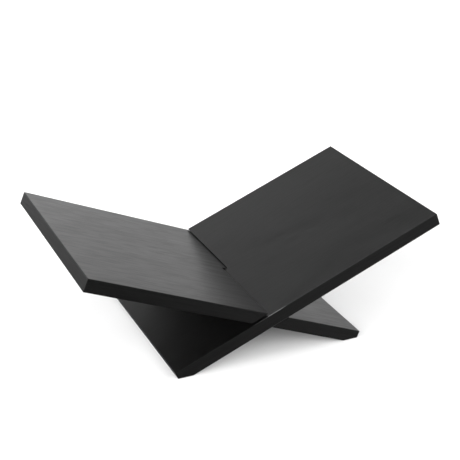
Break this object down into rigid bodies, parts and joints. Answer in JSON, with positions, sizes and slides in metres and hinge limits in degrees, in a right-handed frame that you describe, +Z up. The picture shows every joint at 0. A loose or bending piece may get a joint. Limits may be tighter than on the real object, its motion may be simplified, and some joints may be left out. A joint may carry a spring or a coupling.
{
  "type": "book display stand",
  "caption": "Low X-shaped book display stand: flat black wooden boards cross through half-depth slots, the upper arms form a shallow V for an open book, the lower arms are legs.",
  "frame": {"origin": "on the table, under the crossing of the boards, at mid depth", "axes": "+X across the stand to the viewer's right, +Y towards the rear, +Z up"},
  "size_m": [0.418, 0.24, 0.138],
  "materials": {
    "face_veneer": "black stained open-grain veneer under a thin satin lacquer, grain along the slope",
    "edge_lipping": "black stained wood lipping, satin, grain along the edge",
    "core_board": "sawn board stained black and left matte, seen in the slots and at the feet"
  },
  "bodies": {
    "left_board": {"left_core": "core_board", "left_top_veneer": "face_veneer", "left_underside_veneer": "face_veneer", "left_front_arm_lipping": "edge_lipping", "left_front_leg_lipping": "edge_lipping", "left_rear_lipping": "edge_lipping", "left_top_end_lipping": "edge_lipping", "left_foot_end_lipping": "edge_lipping"},
    "right_board": {"right_core": "core_board", "right_top_veneer": "face_veneer", "right_underside_veneer": "face_veneer", "right_rear_arm_lipping": "edge_lipping", "right_rear_leg_lipping": "edge_lipping", "right_front_lipping": "edge_lipping", "right_top_end_lipping": "edge_lipping", "right_foot_end_lipping": "edge_lipping"}
  },
  "joints": [
    {"name": "boards_slide_apart", "type": "slide", "parent": "left_board", "child": "right_board", "axis": [0, -1, 0], "range_m": [0, 0.125]}
  ]
}
